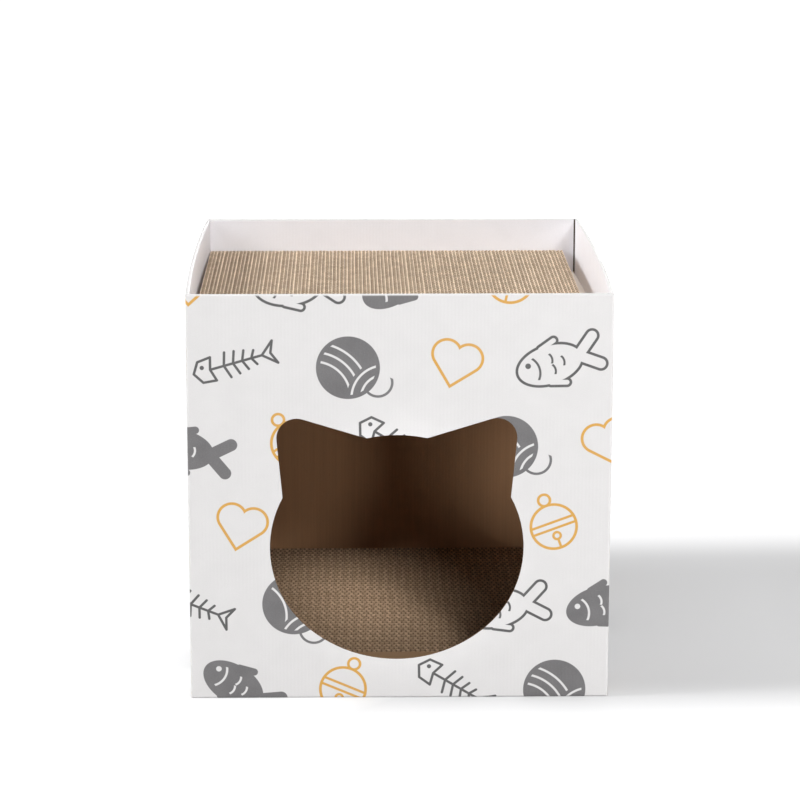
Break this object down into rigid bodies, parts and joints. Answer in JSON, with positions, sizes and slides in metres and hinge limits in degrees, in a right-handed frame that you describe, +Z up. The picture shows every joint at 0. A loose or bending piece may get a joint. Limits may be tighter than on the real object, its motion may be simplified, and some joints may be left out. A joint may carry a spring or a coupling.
{
  "type": "cat condo",
  "caption": "Cube-shaped folded cardboard cat house with a cat-head doorway, a corrugated scratching pad on the cabin floor and a second, lift-out pad in a recessed top tray.",
  "frame": {"origin": "on the ground under the middle of the carton", "axes": "+Z up, +X to the right as seen from the front, the doorway faces -Y"},
  "size_m": [0.377, 0.4, 0.365],
  "materials": {
    "printed_board": "matte white liner with a grey and gold print outside, kraft inside",
    "white_lining": "matte white liner",
    "kraft_board": "bare brown kraft liner",
    "pad_board": "cut edges of bare kraft corrugated board"
  },
  "bodies": {
    "carton": {"front_panel": "printed_board", "right_panel": "printed_board", "back_panel": "printed_board", "left_panel": "printed_board", "glue_flap": "kraft_board", "front_rim": "white_lining", "right_rim": "white_lining", "back_rim": "white_lining", "left_rim": "white_lining", "front_shelf_flap": "white_lining", "right_shelf_flap": "white_lining", "back_shelf_flap": "white_lining", "left_shelf_flap": "white_lining", "front_base_flap": "printed_board", "right_base_flap": "kraft_board", "back_base_flap": "printed_board", "left_base_flap": "kraft_board"},
    "upper_pad": {"top_pad": "pad_board"},
    "lower_pad": {"floor_pad": "pad_board"}
  },
  "joints": [
    {"name": "upper_pad_lift", "type": "slide", "parent": "carton", "child": "upper_pad", "axis": [0, 0, 1], "range_m": [0, 0.08]},
    {"name": "lower_pad_slide", "type": "slide", "parent": "carton", "child": "lower_pad", "axis": [0, -1, 0], "range_m": [0, 0.05]}
  ]
}
